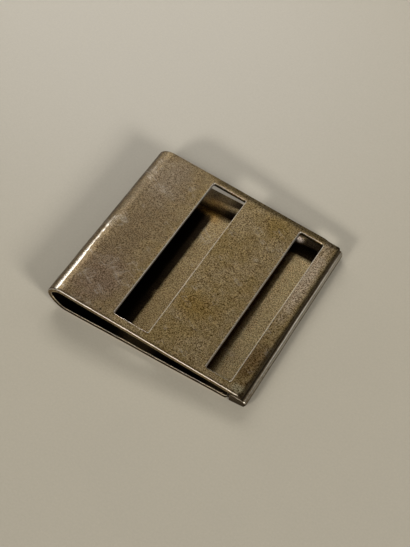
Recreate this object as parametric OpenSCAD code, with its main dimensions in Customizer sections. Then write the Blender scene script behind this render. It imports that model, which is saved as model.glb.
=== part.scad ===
// Silver matchbook sleeve: one strip of sheet folded to a flat wedge, open at the
// front and the back, with two windows in its top panel and a solid bar soldered
// into its thin end.
// +X runs from the folded thick end to the bar, +Y from the front opening to the
// back one, +Z up. The origin is at the centre of the underside.

/* [Overall] */
// Width, from the nose of the fold to the outer side of the bar
body_w = 55; // [46:0.5:68]
// Depth, from the front opening to the back opening
body_d = 53; // [40:0.5:66]
// Height at the crown of the fold, the thick end
thick_h = 6.85; // [5.8:0.05:9]
// Height at the free edge of the top panel, the thin end
thin_h = 3.65; // [3:0.05:4.6]

/* [Sheet] */
// Thickness of the silver sheet
sheet_t = 1.1; // [0.8:0.05:1.3]
// Radius of the rounded free edge of the top panel, no more than the sheet allows
edge_r = 1; // [0.2:0.1:1.2]

/* [Fold] */
// Height of the nose, the outermost line of the fold
nose_h = 4; // [3.2:0.1:4.6]
// Distance from the nose to where the underside becomes flat
low_run = 5.6; // [4:0.1:7]
// Distance from the nose to where the top becomes flat
top_run = 4.2; // [2.8:0.1:5]
// Fullness of the fold below the nose, from a straight line to a full curve
low_fullness = 0.45; // [0.35:0.01:0.6]
// Fullness of the fold above the nose
top_fullness = 0.52; // [0.4:0.01:0.6]

/* [Windows] */
// Width of the wide window, next to the thick end
wide_window_w = 9.4; // [6:0.1:12]
// Distance from the nose to the wide window
wide_window_in = 17.1; // [12:0.1:19]
// Width of the narrow window, over the striking strip of the book
narrow_window_w = 6.7; // [5:0.1:8]
// Width of the strip between the narrow window and the free edge
narrow_window_in = 4.3; // [3:0.1:6]
// Width of the strip between the windows and the front opening
front_margin = 2.4; // [1.5:0.1:6]
// Width of the strip between the windows and the back opening
back_margin = 2; // [1.5:0.1:6]
// Radius in the corners of the windows
window_r = 0.4; // [0.1:0.1:1]

/* [Thin-end bar] */
// Width of the bar
bar_w = 4.7; // [3:0.1:6]
// How far the bar stands out past the free edge of the top panel
lip_w = 1.6; // [0.5:0.1:2]
// Radius along the outer edges of the bar
bar_r = 0.8; // [0.2:0.1:0.9]
// Radius along the inner top edge of the bar
bar_inner_r = 0.4; // [0.1:0.1:0.6]
// How far the underside of the bar rises towards its outer side
bar_rise = 0.3; // [0:0.05:0.4]
// Radius of the outer corners of the bar, seen from above
bar_corner_r = 0.7; // [0.1:0.1:1.2]

/* [Solder] */
// Thickness of the solder between the top panel and the bar
film_t = 0.1; // [0.05:0.01:0.2]
// Gap between the bottom panel and the bar, filled with solder
butt_gap = 0.6; // [0.1:0.05:0.8]
// How far the solder stops short of the outer faces
solder_back = 0.35; // [0.1:0.05:0.8]

/* [Hidden] */
$fn = 32;

// Facets in each half of the fold, and in each rounded edge
fold_steps = 16;
edge_steps = 8;
// How far a cut runs past the face that it opens
cut_over = 1;

nose_x = -body_w / 2;
bar_out_x = body_w / 2;
bar_in_x = bar_out_x - bar_w;
free_x = bar_out_x - lip_w;
bottom_end_x = bar_in_x - butt_gap;
low_flat_x = nose_x + low_run;
crown_x = nose_x + top_run;

// The top panel falls in a straight line from the crown to the free edge
fall = (thin_h - thick_h) / (free_x - crown_x);
fall_angle = atan(fall);
function top_z(x) = thick_h + fall * (x - crown_x);
function under_z(x) = top_z(x) - sheet_t / cos(fall_angle);
function bar_top_z(x) = under_z(x) - film_t;

wide_x = nose_x + wide_window_in;
narrow_x = free_x - narrow_window_in - narrow_window_w;
window_y = -body_d / 2 + front_margin;
window_l = body_d - front_margin - back_margin;
free_r = min(edge_r, sheet_t * 0.9);
seam_l = body_d - 2 * solder_back;

// Bezier curve of four control points, its direction and the unit normal on its left
function bez(p, u) = p[0] * pow(1 - u, 3) + 3 * p[1] * u * pow(1 - u, 2)
    + 3 * p[2] * pow(u, 2) * (1 - u) + p[3] * pow(u, 3);
function bez_dir(p, u) = pow(1 - u, 2) * (p[1] - p[0]) + 2 * u * (1 - u) * (p[2] - p[1])
    + pow(u, 2) * (p[3] - p[2]);
function left_of(v) = [-v[1], v[0]] / norm(v);
function bez_points(p, off) = [
    for (i = [0 : fold_steps])
        let (u = i / fold_steps)
        bez(p, u) + off * left_of(bez_dir(p, u))
];
function arc_points(c, r, a0, a1) = [
    for (i = [0 : edge_steps])
        let (a = a0 + (a1 - a0) * i / edge_steps)
        c + r * [cos(a), sin(a)]
];
function reversed(list) = [for (i = [len(list) - 1 : -1 : 0]) list[i]];

// Outer line of the fold: underside to nose, then nose to crown
low_curve = [
    [low_flat_x, 0],
    [low_flat_x - low_fullness * low_run, 0],
    [nose_x, nose_h * (1 - low_fullness)],
    [nose_x, nose_h]
];
top_curve = [
    [nose_x, nose_h],
    [nose_x, nose_h + top_fullness * (thick_h - nose_h)],
    [crown_x - top_fullness * top_run, top_z(crown_x - top_fullness * top_run)],
    [crown_x, thick_h]
];

// Centre of a rounding of radius r that touches the line z and stands in from x
function corner(x, r, z) = [x - r, z - r / cos(fall_angle)];
free_corner = corner(free_x, free_r, top_z(free_x - free_r));
bar_corner = corner(bar_out_x, bar_r, bar_top_z(bar_out_x - bar_r));
rise_angle = atan(bar_rise / (bar_w - bar_r));
bar_low_corner = [bar_out_x - bar_r, bar_rise + bar_r / cos(rise_angle)];
bar_inner_x = bar_in_x + bar_inner_r;
bar_inner_corner = [bar_inner_x, bar_top_z(bar_inner_x) - bar_inner_r / cos(fall_angle)];

// Draws a section of X and Z and carries it along Y, centred
module along_y(length) {
    rotate([90, 0, 0])
        linear_extrude(height = length, center = true)
            children();
}

module sleeve_section() {
    outer = concat(
        [[bottom_end_x, 0]],
        bez_points(low_curve, 0),
        bez_points(top_curve, 0),
        arc_points(free_corner, free_r, 90 + fall_angle, 0),
        [[free_x, under_z(free_x)]]
    );
    inner = concat(
        reversed(bez_points(top_curve, -sheet_t)),
        reversed(bez_points(low_curve, -sheet_t)),
        [[bottom_end_x, sheet_t]]
    );
    polygon(concat(outer, inner));
}

module rounded_window(width, length, r) {
    square_in = [width - 2 * r, length - 2 * r];
    translate([r, 0]) square([square_in[0], length]);
    translate([0, r]) square([width, square_in[1]]);
    for (x = [r, width - r], y = [r, length - r])
        translate([x, y]) circle(r);
}

// Opens the top panel only: from inside the space for the book up past the crown
module window_cut(x, width) {
    from_z = (under_z(x + width) + sheet_t) / 2;
    translate([x, window_y, from_z])
        linear_extrude(height = thick_h - from_z + cut_over)
            rounded_window(width, window_l, window_r);
}

module folded_sleeve() {
    color([0.46, 0.41, 0.31])
        difference() {
            along_y(body_d) sleeve_section();
            window_cut(wide_x, wide_window_w);
            window_cut(narrow_x, narrow_window_w);
        }
}

module bar_section() {
    polygon(concat(
        [[bar_in_x, 0]],
        arc_points(bar_low_corner, bar_r, rise_angle - 90, 0),
        arc_points(bar_corner, bar_r, 0, 90 + fall_angle),
        arc_points(bar_inner_corner, bar_inner_r, 90 + fall_angle, 180)
    ));
}

// Plan of the bar: square towards the book, rounded at the two outer corners
module bar_plan() {
    r = bar_corner_r;
    translate([bar_in_x, -body_d / 2]) square([bar_w - r, body_d]);
    translate([bar_in_x, r - body_d / 2]) square([bar_w, body_d - 2 * r]);
    for (side = [-1, 1])
        translate([bar_out_x - r, side * (body_d / 2 - r)]) circle(r);
}

module thin_end_bar() {
    color([0.42, 0.37, 0.27])
        intersection() {
            along_y(body_d) bar_section();
            linear_extrude(height = thick_h) bar_plan();
        }
}

module upper_solder_seam() {
    seam_out_x = free_x - solder_back;
    color([0.2, 0.17, 0.12])
        along_y(seam_l)
            polygon([
                [bar_inner_x, bar_top_z(bar_inner_x)],
                [seam_out_x, bar_top_z(seam_out_x)],
                [seam_out_x, under_z(seam_out_x)],
                [bar_inner_x, under_z(bar_inner_x)]
            ]);
}

module lower_solder_seam() {
    seam_h = sheet_t - solder_back;
    color([0.2, 0.17, 0.12])
        translate([bottom_end_x, -seam_l / 2, sheet_t - seam_h])
            cube([butt_gap, seam_l, seam_h]);
}

folded_sleeve();
thin_end_bar();
upper_solder_seam();
lower_solder_seam();
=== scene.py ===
import math

import bpy
import numpy as np
from mathutils import Matrix, Vector


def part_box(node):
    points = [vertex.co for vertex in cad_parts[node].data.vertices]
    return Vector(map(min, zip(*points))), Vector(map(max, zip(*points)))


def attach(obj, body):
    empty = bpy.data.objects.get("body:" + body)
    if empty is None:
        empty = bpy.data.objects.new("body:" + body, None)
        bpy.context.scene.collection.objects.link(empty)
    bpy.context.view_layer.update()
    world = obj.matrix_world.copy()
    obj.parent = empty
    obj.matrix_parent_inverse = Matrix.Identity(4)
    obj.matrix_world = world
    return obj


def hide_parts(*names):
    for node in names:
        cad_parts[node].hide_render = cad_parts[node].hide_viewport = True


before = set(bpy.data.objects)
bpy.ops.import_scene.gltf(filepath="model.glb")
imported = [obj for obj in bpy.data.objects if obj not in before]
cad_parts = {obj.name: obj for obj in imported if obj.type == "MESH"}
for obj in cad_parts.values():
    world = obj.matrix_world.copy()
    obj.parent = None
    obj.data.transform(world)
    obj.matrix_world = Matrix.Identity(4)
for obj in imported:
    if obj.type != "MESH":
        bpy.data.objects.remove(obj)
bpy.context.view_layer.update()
print("frame loaded:", sorted(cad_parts))

mm = 0.001  # shapes are worked out in millimetres and become metres when a mesh is made
tiny = 1e-9  # keeps a division from meeting 0

sheetLow, sheetHigh = (np.array(corner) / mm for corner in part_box("folded_sleeve"))
barLow, barHigh = (np.array(corner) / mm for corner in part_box("thin_end_bar"))
gapLow, gapHigh = (np.array(corner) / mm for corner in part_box("lower_solder_seam"))
filmLow, filmHigh = (np.array(corner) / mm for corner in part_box("upper_solder_seam"))


# Smooth step from 0 at low to 1 at high: 3t^2 - 2t^3.
def easeIn(value, low, high):
    t = np.clip((value - low) / (high - low), 0, 1)
    return t * t * (3 - 2 * t)


# The same step the other way round, from 1 at low to 0 at high.
def easeOut(value, low, high):
    return 1 - easeIn(value, low, high)


# A soft line: 1 where the value is at, falling to 1/e a width away: e^-((value - at) / width)^2.
def softLine(value, at, width):
    return np.exp(-((value - at) / width) ** 2)


# Slow waves over a surface: a sum of sines of u and v, each turned by the golden angle from the
# last and shorter by a steady factor. The result stays between -1 and 1.
def slowWaves(u, v, longest, count, phase):
    goldenAngle, shorter, stagger = 2.39996, 1.37, 1.7
    total = np.zeros(np.broadcast(u, v).shape)
    for k in range(count):
        turn = goldenAngle * k + phase
        length = longest / shorter ** k
        along = u * math.cos(turn) + v * math.sin(turn)
        total += np.sin(along * 2 * math.pi / length + stagger * k + 3 * phase)
    return total / count


# Positions from the first stop to the last, through every stop, no more than step apart. Of stops
# that lie closer together than closest, only the first stays.
def fillStops(stops, step, closest=0.004):
    stops = np.unique(np.round(stops, 4))
    stops = stops[np.concatenate([[True], np.diff(stops) > closest])]
    runs = [
        np.linspace(a, b, max(1, math.ceil((b - a) / step)), endpoint=False)
        for a, b in zip(stops[:-1], stops[1:])
    ]
    return np.concatenate(runs + [stops[-1:]])


# Distance along a line of points, from its first point: the sum of the lengths of its steps.
def distanceAlong(line):
    return np.concatenate([[0], np.cumsum(np.hypot(*np.diff(line, axis=0).T))])


# Points round a closed outline, no more than step apart, with every corner kept and the first not repeated.
def evenOutline(corners, step):
    closed = np.concatenate([corners, corners[:1]])
    along = distanceAlong(closed)
    steps = fillStops(along, step)[:-1]
    return np.stack([np.interp(steps, along, closed[:, k]) for k in (0, 1)], 1)


# Cubic Bezier: p0 (1-t)^3 + 3 p1 t (1-t)^2 + 3 p2 t^2 (1-t) + p3 t^3.
def bezier(points, count):
    t = np.linspace(0, 1, count)[:, None]
    a, b, c, d = (np.array(point, float) for point in points)
    return a * (1 - t) ** 3 + 3 * b * t * (1 - t) ** 2 + 3 * c * t ** 2 * (1 - t) + d * t ** 3


# Points of an arc: centre + radius (cos a, sin a), with a in degrees.
def arc(centre, radius, fromAngle, toAngle, count):
    a = np.radians(np.linspace(fromAngle, toAngle, count))
    return np.array(centre) + radius * np.stack([np.cos(a), np.sin(a)], 1)


# How deep a rounded edge has dropped at a distance from it: r - sqrt(r^2 - (r - distance)^2).
def edgeDrop(distance, radius):
    inside = np.clip(radius - distance, 0, radius)
    return radius - np.sqrt(radius ** 2 - inside ** 2)


# Distances from an edge at which a rounding of that radius turns by equal angles: r (1 - cos a).
def edgeRings(radius, count):
    return radius * (1 - np.cos(np.linspace(0, math.pi / 2, count)))


# Signed distance to a rectangle with rounded corners, below 0 inside it: the distance to a smaller
# rectangle with square corners, less the radius.
def roundedRectangle(u, v, low, high, radius):
    centre, half = (np.array(low) + high) / 2, (np.array(high) - low) / 2
    qu = np.abs(u - centre[0]) - half[0] + radius
    qv = np.abs(v - centre[1]) - half[1] + radius
    return np.hypot(np.maximum(qu, 0), np.maximum(qv, 0)) + np.minimum(np.maximum(qu, qv), 0) - radius


# Turns the square corner of a grid into a round one: a point that lies as far as big from the centre
# of the corner, counted along the axes, moves to the circle of that radius. Past solid it fades out.
def roundCorner(u, v, centre, towards, solid, reach):
    a, b = (u - centre[0]) * towards[0], (v - centre[1]) * towards[1]
    big, small = np.maximum(a, b), np.minimum(a, b)
    angle = small / np.maximum(big, tiny) * math.pi / 4
    far, near = big * np.cos(angle), big * np.sin(angle)
    weight = easeOut(big, solid, reach) * ((a > 0) & (b > 0))
    newA = a + (np.where(a >= b, far, near) - a) * weight
    newB = b + (np.where(a >= b, near, far) - b) * weight
    return centre[0] + newA * towards[0], centre[1] + newB * towards[1]


# A smooth mesh object from points in mm, lists of faces and named values at the points. Points that
# no face uses are left out.
def makePiece(name, points, faces, material, values=None):
    used, ids = np.unique(np.concatenate([f.ravel() for f in faces]), return_inverse=True)
    ends = np.cumsum([f.size for f in faces])
    faces = [part.reshape(f.shape) for part, f in zip(np.split(ids, ends[:-1]), faces)]
    mesh = bpy.data.meshes.new(name)
    mesh.from_pydata((points[used] * mm).tolist(), [], [row for f in faces for row in f.tolist()])
    mesh.polygons.foreach_set("use_smooth", np.ones(len(mesh.polygons), bool))
    for key, value in (values or {}).items():
        layer = mesh.attributes.new(key, "FLOAT", "POINT")
        layer.data.foreach_set("value", value[used].astype(np.float32))
    mesh.update()
    mesh.materials.append(material)
    piece = bpy.data.objects.new(name, mesh)
    bpy.context.scene.collection.objects.link(piece)
    return piece


# Shader node helpers. A value is a number, a colour, a vector or another node's socket.
def put(tree, socket, value):
    if isinstance(value, bpy.types.NodeSocket):
        tree.links.new(value, socket)
    else:
        socket.default_value = value


def maths(tree, operation, a, b=0.0, clamp=False):
    node = tree.nodes.new("ShaderNodeMath")
    node.operation, node.use_clamp = operation, clamp
    put(tree, node.inputs[0], a)
    put(tree, node.inputs[1], b)
    return node.outputs[0]


def vectorMaths(tree, operation, a, b=(0, 0, 0)):
    node = tree.nodes.new("ShaderNodeVectorMath")
    node.operation = operation
    put(tree, node.inputs[0], a)
    put(tree, node.inputs[1], b)
    return node.outputs["Value" if operation == "LENGTH" else "Vector"]


def rise(tree, value, low, high, outLow=0.0, outHigh=1.0):
    node = tree.nodes.new("ShaderNodeMapRange")
    node.interpolation_type = "SMOOTHSTEP"
    for socket, entry in zip(node.inputs[:5], (value, low, high, outLow, outHigh)):
        put(tree, socket, entry)
    return node.outputs[0]


def noise(tree, position, scale, detail=2.0, rough=0.5, bend=0.0):
    node = tree.nodes.new("ShaderNodeTexNoise")
    for key, entry in zip(("Vector", "Scale", "Detail", "Roughness", "Distortion"),
                          (position, scale, detail, rough, bend)):
        put(tree, node.inputs[key], entry)
    return node.outputs[0]


def mixColour(tree, factor, a, b):
    node = tree.nodes.new("ShaderNodeMix")
    node.data_type = "RGBA"
    for index, entry in zip((0, 6, 7), (factor, a, b)):
        put(tree, node.inputs[index], entry)
    return node.outputs[2]


def mixValue(tree, factor, a, b):
    node = tree.nodes.new("ShaderNodeMix")
    for index, entry in zip((0, 2, 3), (factor, a, b)):
        put(tree, node.inputs[index], entry)
    return node.outputs[0]


def attribute(tree, name):
    node = tree.nodes.new("ShaderNodeAttribute")
    node.attribute_name = name
    return node.outputs["Fac"]


def placeGroup(tree, group, **values):
    node = tree.nodes.new("ShaderNodeGroup")
    node.node_tree = group
    for key, value in values.items():
        put(tree, node.inputs[key], value)
    return node.outputs


# Lays a tint over a colour where a mask says, at a share.
def layOver(tree, colour, mask, share, tint):
    return mixColour(tree, maths(tree, "MULTIPLY", mask, share), colour, tint)


# A node group with named sockets: inputs are name: default, and outputs are name: kind.
def startGroup(name, inputs, outputs):
    group = bpy.data.node_groups.new(name, "ShaderNodeTree")
    for key, default in inputs.items():
        kind = "NodeSocketVector" if isinstance(default, tuple) else "NodeSocketFloat"
        socket = group.interface.new_socket(name=key, in_out="INPUT", socket_type=kind)
        socket.default_value = default
    for key, kind in outputs.items():
        group.interface.new_socket(name=key, in_out="OUTPUT", socket_type="NodeSocket" + kind)
    return group, group.nodes.new("NodeGroupInput").outputs, group.nodes.new("NodeGroupOutput").inputs


# Cloudy tarnish: noise of the given size in mm, cut off between From and To.
def tarnishCloudGroup():
    inputs = {"Position": (0, 0, 0), "Size": 8.0, "From": 0.4, "To": 0.65}
    group, given, out = startGroup("tarnishCloud", inputs, {"Mask": "Float"})
    perMm = maths(group, "DIVIDE", 1.0, given["Size"])
    cloud = noise(group, given["Position"], perMm, detail=5.0, rough=0.6, bend=0.4)
    group.links.new(rise(group, cloud, given["From"], given["To"]), out["Mask"])
    return group


# Mottled grain of old silver: two noises, one of the given size in mm and one coarser. Tone varies
# round 0 and is contrast times their weighted sum less its mean, and Height is the finer noise.
def silverGrainGroup():
    fineShare, coarseShare, coarser, contrast = 0.84, 0.16, 0.37, 4.4
    inputs = {"Position": (0, 0, 0), "Size": 0.4}
    group, given, out = startGroup("silverGrain", inputs, {"Tone": "Float", "Height": "Float"})
    perMm = maths(group, "DIVIDE", 1.0, given["Size"])
    fine = noise(group, given["Position"], perMm, detail=1.0)
    coarse = noise(group, given["Position"], maths(group, "MULTIPLY", perMm, coarser), bend=0.6)
    both = maths(group, "ADD", maths(group, "MULTIPLY", fine, fineShare),
                 maths(group, "MULTIPLY", coarse, coarseShare))
    varied = maths(group, "SUBTRACT", both, 0.5)
    group.links.new(maths(group, "MULTIPLY", varied, contrast), out["Tone"])
    group.links.new(fine, out["Height"])
    return group


# Hair scratches: the middle line of a noise that is stretched along the scratch, kept only where a
# cloud rises above Share. Turn is in radians, and Length and Spacing in mm.
def hairScratchGroup():
    cloudScale, cloudEdge = 0.23, 0.06
    inputs = {"Position": (0, 0, 0), "Turn": 0.0, "Length": 9.0, "Spacing": 1.1, "Thin": 0.012, "Share": 0.55}
    group, given, out = startGroup("hairScratch", inputs, {"Mask": "Float"})
    turned = group.nodes.new("ShaderNodeVectorRotate")
    turned.rotation_type = "Z_AXIS"
    group.links.new(given["Position"], turned.inputs["Vector"])
    group.links.new(given["Turn"], turned.inputs["Angle"])
    stretch = group.nodes.new("ShaderNodeCombineXYZ")
    group.links.new(maths(group, "DIVIDE", 1.0, given["Length"]), stretch.inputs[0])
    group.links.new(maths(group, "DIVIDE", 1.0, given["Spacing"]), stretch.inputs[1])
    stretched = vectorMaths(group, "MULTIPLY", turned.outputs[0], stretch.outputs[0])
    field = noise(group, stretched, 1.0, detail=1.0, rough=0.4)
    line = maths(group, "ABSOLUTE", maths(group, "SUBTRACT", field, 0.5))
    drawn = maths(group, "SUBTRACT", 1.0, rise(group, line, 0.0, given["Thin"]))
    broken = noise(group, given["Position"], cloudScale)
    kept = rise(group, broken, given["Share"], maths(group, "ADD", given["Share"], cloudEdge))
    group.links.new(maths(group, "MULTIPLY", drawn, kept), out["Mask"])
    return group


# A soft ragged spot: 1 near its centre and 0 past its size, which is given along X, Y and Z.
def softSpotGroup():
    full, raggedScale = 0.15, 0.3
    inputs = {"Position": (0, 0, 0), "Centre": (0, 0, 0), "Size": (5, 5, 5), "Ragged": 0.5}
    group, given, out = startGroup("softSpot", inputs, {"Mask": "Float"})
    offset = vectorMaths(group, "SUBTRACT", given["Position"], given["Centre"])
    away = vectorMaths(group, "LENGTH", vectorMaths(group, "DIVIDE", offset, given["Size"]))
    bumpy = noise(group, given["Position"], raggedScale, detail=4.0, rough=0.6)
    uneven = maths(group, "MULTIPLY", maths(group, "SUBTRACT", bumpy, 0.5), given["Ragged"])
    group.links.new(rise(group, maths(group, "ADD", away, uneven), 1.0, full), out["Mask"])
    return group


# Metal rubbed bright along an edge: the closeness to the edge, made uneven by noise. The rub starts
# at a closeness of 1 - Wear and is full a little above that.
def rubbedEdgeGroup():
    patchScale, ease = 0.9, 0.35
    inputs = {"Position": (0, 0, 0), "Closeness": 0.0, "Wear": 0.5, "Uneven": 0.5}
    group, given, out = startGroup("rubbedEdge", inputs, {"Mask": "Float"})
    patchy = maths(group, "SUBTRACT", noise(group, given["Position"], patchScale, detail=4.0, rough=0.6), 0.5)
    close = maths(group, "ADD", given["Closeness"], maths(group, "MULTIPLY", patchy, given["Uneven"]))
    low = maths(group, "SUBTRACT", 1.0, given["Wear"])
    group.links.new(rise(group, close, low, maths(group, "ADD", low, ease)), out["Mask"])
    return group


tarnishCloud = tarnishCloudGroup()
silverGrain = silverGrainGroup()
hairScratch = hairScratchGroup()
softSpot = softSpotGroup()
rubbedEdge = rubbedEdgeGroup()
print("shader groups built")


# Starts a material and gives its tree, its Principled shader and the place on the piece in mm.
def startMaterial(name):
    material = bpy.data.materials.new(name)
    material.use_nodes = True
    tree = material.node_tree
    shader = tree.nodes["Principled BSDF"]
    where = tree.nodes.new("ShaderNodeTexCoord").outputs["Object"]
    perMm = 1 / mm
    return material, tree, shader, vectorMaths(tree, "MULTIPLY", where, (perMm, perMm, perMm))


# Feeds a height in mm to the shader's normal.
def putBump(tree, shader, height):
    bump = tree.nodes.new("ShaderNodeBump")
    bump.inputs["Strength"].default_value = 1.0
    bump.inputs["Distance"].default_value = mm
    put(tree, bump.inputs["Height"], height)
    put(tree, shader.inputs["Normal"], bump.outputs[0])


# Height of a metal surface: its grain, less the depth of its scratches.
def scratchedHeight(tree, grain, grainHeight, scratches, scratchDepth):
    raised = maths(tree, "MULTIPLY", grain["Height"], grainHeight)
    return maths(tree, "SUBTRACT", raised, maths(tree, "MULTIPLY", scratches, scratchDepth))


silverLook = {
    "plain": (0.246, 0.184, 0.095, 1),      # the ordinary film of tarnish
    "olive": (0.212, 0.151, 0.062, 1),      # where the film is thicker
    # dark serves both dark tarnish and the painted shade inside the sleeve and on the bottom panel's cut
    # walls
    "dark": (0.009, 0.005, 0.002, 1),       # in corners, near the openings and beside the solder
    "bright": (0.72, 0.68, 0.61, 1),        # rubbed bare
    "inside": (0.268, 0.196, 0.096, 1),     # the inner faces, less handled
    "flank": (0.13, 0.095, 0.058, 1),       # the side of the fold, below its rubbed line
    "rough": 0.50, "roughInside": 0.31, "roughRubbed": 0.45, "roughFold": 0.22,
    # the grain darkens and lightens the film, and its light grains are a little greyer
    "grain": {"Size": 0.28},
    "grainDark": (0.22, 0.13, 0.02, 1), "grainLight": (1.98, 2.06, 2.24, 1), "grainHeight": 0.03,
    "grainTones": (-1.0, 1.0),
    "cloud": {"Size": 7.0, "From": 0.36, "To": 0.66},
    "blush": {"Size": 1.3, "From": 0.35, "To": 0.65},
    "warmTint": (1.016, 0.995, 0.97, 1), "coldTint": (0.986, 1.003, 1.02, 1),
    "scratches": {"Turn": 0.5, "Length": 11.0, "Spacing": 0.8, "Thin": 0.045},
    "crossed": {"Turn": -0.9, "Length": 7.0, "Spacing": 1.4, "Thin": 0.03, "Share": 0.56},
    "scratchShare": 0.13, "scratchDepth": 0.006,
    "rubbed": {"Wear": 0.62, "Uneven": 0.5}, "rubbedShare": 0.5,
    "polished": {"Wear": 0.75, "Uneven": 0.7}, "polishedShare": 0.55,
    "deepTones": (-1.2, 0.8, 1.0, 0.96),    # from this tone to that one, the darkest tarnish and painted shade thin this much
    "ragged": 0.8,
    # patches of another colour: centre, size in mm, colour, share
    "patches": (
        ((-22.0, 0.0, 6.5), (17.0, 70.0, 9.0), (0.164, 0.119, 0.064, 1), 1.0),
        ((-18.0, -18.0, 6.5), (9.0, 13.0, 6.0), (0.163, 0.114, 0.073, 1), 0.85),
        ((-20.0, 18.0, 7.0), (8.0, 14.0, 6.0), (0.20, 0.155, 0.102, 1), 0.8),
        ((4.0, -11.0, 5.0), (9.0, 5.0, 6.0), (0.20, 0.130, 0.036, 1), 0.8),
        ((9.5, 21.5, 4.5), (5.5, 4.5, 6.0), (0.197, 0.134, 0.042, 1), 0.8),
        ((23.4, -17.0, 4.0), (3.2, 10.5, 4.0), (0.125, 0.078, 0.030, 1), 0.95),
        ((23.0, 12.0, 4.0), (2.6, 22.0, 4.0), (0.41, 0.325, 0.222, 1), 0.9),
        # painted shade: the back half of the fold's top is darkened to dim the lamps' sheen there
        ((-25.0, 13.0, 6.4), (2.2, 36.0, 4.0), (0.088, 0.068, 0.042, 1), 0.8),
        ((24.0, -24.8, 4.0), (2.6, 1.8, 4.0), (0.30, 0.265, 0.165, 1), 0.8),
        ((-13.7, -25.1, 6.2), (0.5, 0.45, 3.0), (0.03, 0.02, 0.01, 1), 0.9),
    ),
    # painted light and shade on the inner floor: lit patches where light falls through the windows, painted
    # shadow bands beside their left rims, a painted reflection at the back of the wide window and a painted
    # glint at the back of the narrow one
    "insideLightAndShade": (
        ((-5.0, -18.0, 1.1), (8.0, 20.0, 2.0), (0.30, 0.215, 0.100, 1), 0.9),
        ((-9.8, 0.0, 1.1), (2.8, 90.0, 2.0), (0.10, 0.07, 0.03, 1), 0.9),
        ((18.7, -4.0, 1.1), (7.5, 60.0, 2.0), (0.47, 0.355, 0.18, 1), 1.0),
        ((14.4, 0.0, 1.1), (2.1, 90.0, 2.0), (0.09, 0.045, 0.012, 1), 1.0),
        ((-8.2, 20.4, 1.1), (5.5, 5.5, 2.0), (0.36, 0.20, 0.045, 1), 0.95),
        ((15.2, 24.6, 1.1), (1.6, 1.3, 2.0), (0.95, 0.80, 0.66, 1), 1.0),
    ),
}


# Lays soft patches over a colour, each at its own share.
def layPatches(tree, place, colour, patches, ragged):
    for centre, size, tint, share in patches:
        mask = placeGroup(tree, softSpot, Position=place, Centre=centre, Size=size, Ragged=ragged)["Mask"]
        colour = layOver(tree, colour, mask, share, tint)
    return colour


# Tarnished silver for the folded sheet. The attributes rub, polish, inside, flank, recess and calm
# come from its mesh.
def tarnishedSilver(look):
    material, tree, shader, place = startMaterial("tarnishedSilver")
    keys = ("rub", "polish", "inside", "flank", "recess", "calm")
    rub, polish, inside, flank, recess, calm = (attribute(tree, key) for key in keys)
    grain = placeGroup(tree, silverGrain, Position=place, **look["grain"])
    cloud = placeGroup(tree, tarnishCloud, Position=place, **look["cloud"])["Mask"]
    colour = mixColour(tree, cloud, look["plain"], look["olive"])
    colour = layPatches(tree, place, colour, look["patches"], look["ragged"])
    # the inner faces' colour with its painted light and shade
    insideLitAndShaded = layPatches(tree, place, look["inside"], look["insideLightAndShade"], look["ragged"])
    colour = mixColour(tree, inside, colour, insideLitAndShaded)
    colour = mixColour(tree, flank, colour, look["flank"])
    # the grain and the warmer and colder places multiply the colour, and a calm place takes the grain away
    light = rise(tree, grain["Tone"], *look["grainTones"])
    mottle = mixColour(tree, light, look["grainDark"], look["grainLight"])
    mottle = mixColour(tree, calm, mottle, (1, 1, 1, 1))
    colour = vectorMaths(tree, "MULTIPLY", colour, mottle)
    blush = placeGroup(tree, tarnishCloud, Position=place, **look["blush"])["Mask"]
    colour = vectorMaths(tree, "MULTIPLY", colour, mixColour(tree, blush, look["warmTint"], look["coldTint"]))
    scratches = placeGroup(tree, hairScratch, Position=place, **look["scratches"])["Mask"]
    crossed = placeGroup(tree, hairScratch, Position=place, **look["crossed"])["Mask"]
    hair = maths(tree, "MULTIPLY", maths(tree, "ADD", scratches, crossed), look["scratchShare"])
    bare = placeGroup(tree, rubbedEdge, Position=place, Closeness=rub, **look["rubbed"])["Mask"]
    worn = placeGroup(tree, rubbedEdge, Position=place, Closeness=polish, **look["polished"])["Mask"]
    colour = mixColour(tree, hair, colour, look["bright"])
    colour = layOver(tree, colour, bare, look["rubbedShare"], look["bright"])
    colour = layOver(tree, colour, worn, look["polishedShare"], look["bright"])
    # recess carries dark tarnish outside and painted shade inside the sleeve, and darkens the colour
    deep = maths(tree, "MULTIPLY", recess, rise(tree, grain["Tone"], *look["deepTones"]))
    colour = mixColour(tree, deep, colour, look["dark"])
    put(tree, shader.inputs["Base Color"], colour)
    roughness = mixValue(tree, inside, look["rough"], look["roughInside"])
    roughness = mixValue(tree, bare, roughness, look["roughRubbed"])
    put(tree, shader.inputs["Roughness"], mixValue(tree, worn, roughness, look["roughFold"]))
    shader.inputs["Metallic"].default_value = 1.0
    putBump(tree, shader, scratchedHeight(tree, grain, look["grainHeight"], hair, look["scratchDepth"]))
    return material


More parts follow.
